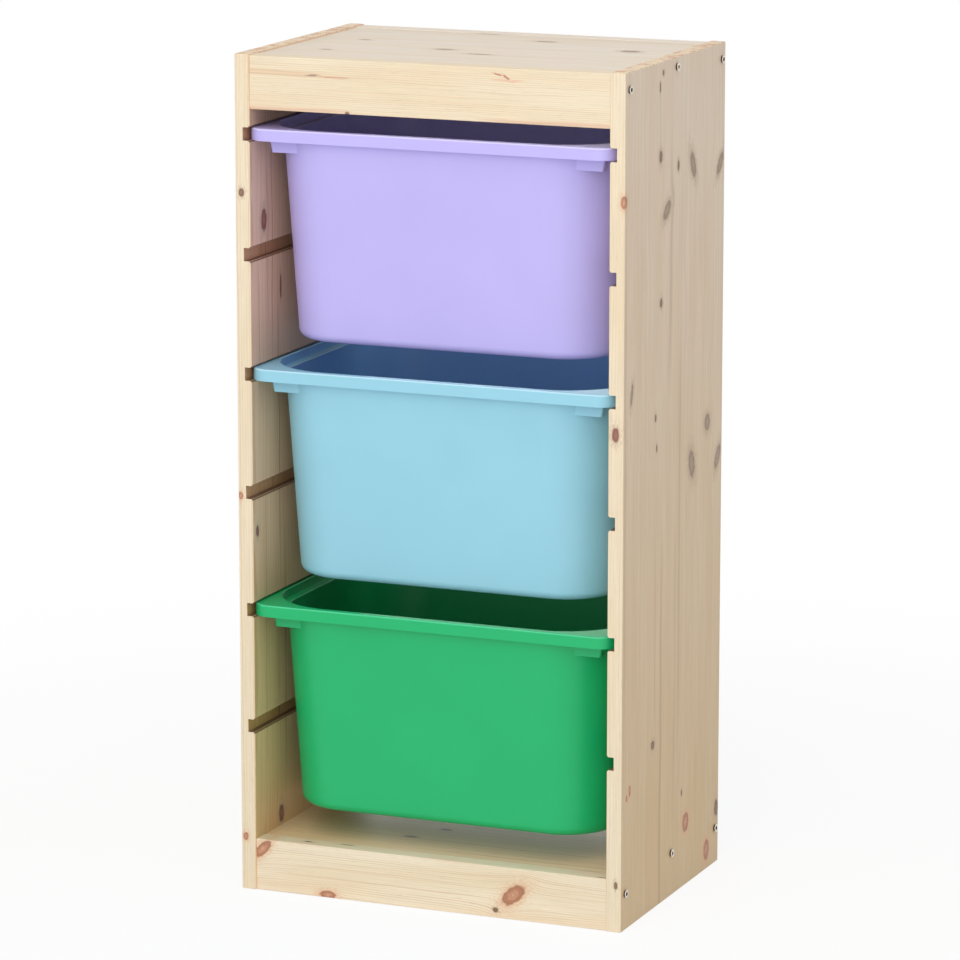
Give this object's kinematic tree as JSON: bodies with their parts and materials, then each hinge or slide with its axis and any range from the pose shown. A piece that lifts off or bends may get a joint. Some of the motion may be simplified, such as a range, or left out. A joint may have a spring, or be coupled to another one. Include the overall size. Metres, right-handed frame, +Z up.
{
  "type": "toy storage organizer",
  "caption": "Narrow open pine frame with runner grooves in its side panels and moulded plastic bins that hang in the grooves by their rims and pull out to the front.",
  "frame": {"origin": "middle of the frame's footprint, on the floor", "axes": "X from left to right seen from the front, Y from front to back, Z up"},
  "size_m": [0.4446, 0.3, 0.91],
  "materials": {
    "pine": "clear satin lacquer",
    "beech": "plain",
    "zinc": "bright zinc plating",
    "violet_plastic": "satin",
    "blue_plastic": "satin",
    "green_plastic": "satin"
  },
  "bodies": {
    "frame": {"left_side_panel": "pine", "right_side_panel": "pine", "top_board": "pine", "bottom_board": "pine", "top_front_rail": "pine", "top_rear_rail": "pine", "bottom_front_rail": "pine", "bottom_rear_rail": "pine", "top_front_screw_left": "zinc", "top_middle_screw_left": "zinc", "top_rear_screw_left": "zinc", "bottom_front_screw_left": "zinc", "bottom_middle_screw_left": "zinc", "bottom_rear_screw_left": "zinc", "top_front_screw_right": "zinc", "top_middle_screw_right": "zinc", "top_rear_screw_right": "zinc", "bottom_front_screw_right": "zinc", "bottom_middle_screw_right": "zinc", "bottom_rear_screw_right": "zinc", "top_front_dowel_left": "beech", "top_rear_dowel_left": "beech", "bottom_front_dowel_left": "beech", "bottom_rear_dowel_left": "beech", "top_front_dowel_right": "beech", "top_rear_dowel_right": "beech", "bottom_front_dowel_right": "beech", "bottom_rear_dowel_right": "beech"},
    "upper_bin": {"upper_bin": "violet_plastic"},
    "middle_bin": {"middle_bin": "blue_plastic"},
    "lower_bin": {"lower_bin": "green_plastic"}
  },
  "joints": [
    {"name": "upper_bin_slide", "type": "slide", "parent": "frame", "child": "upper_bin", "axis": [0, -1, 0], "range_m": [0, 0.32]},
    {"name": "middle_bin_slide", "type": "slide", "parent": "frame", "child": "middle_bin", "axis": [0, -1, 0], "range_m": [0, 0.32]},
    {"name": "lower_bin_slide", "type": "slide", "parent": "frame", "child": "lower_bin", "axis": [0, -1, 0], "range_m": [0, 0.32]}
  ]
}
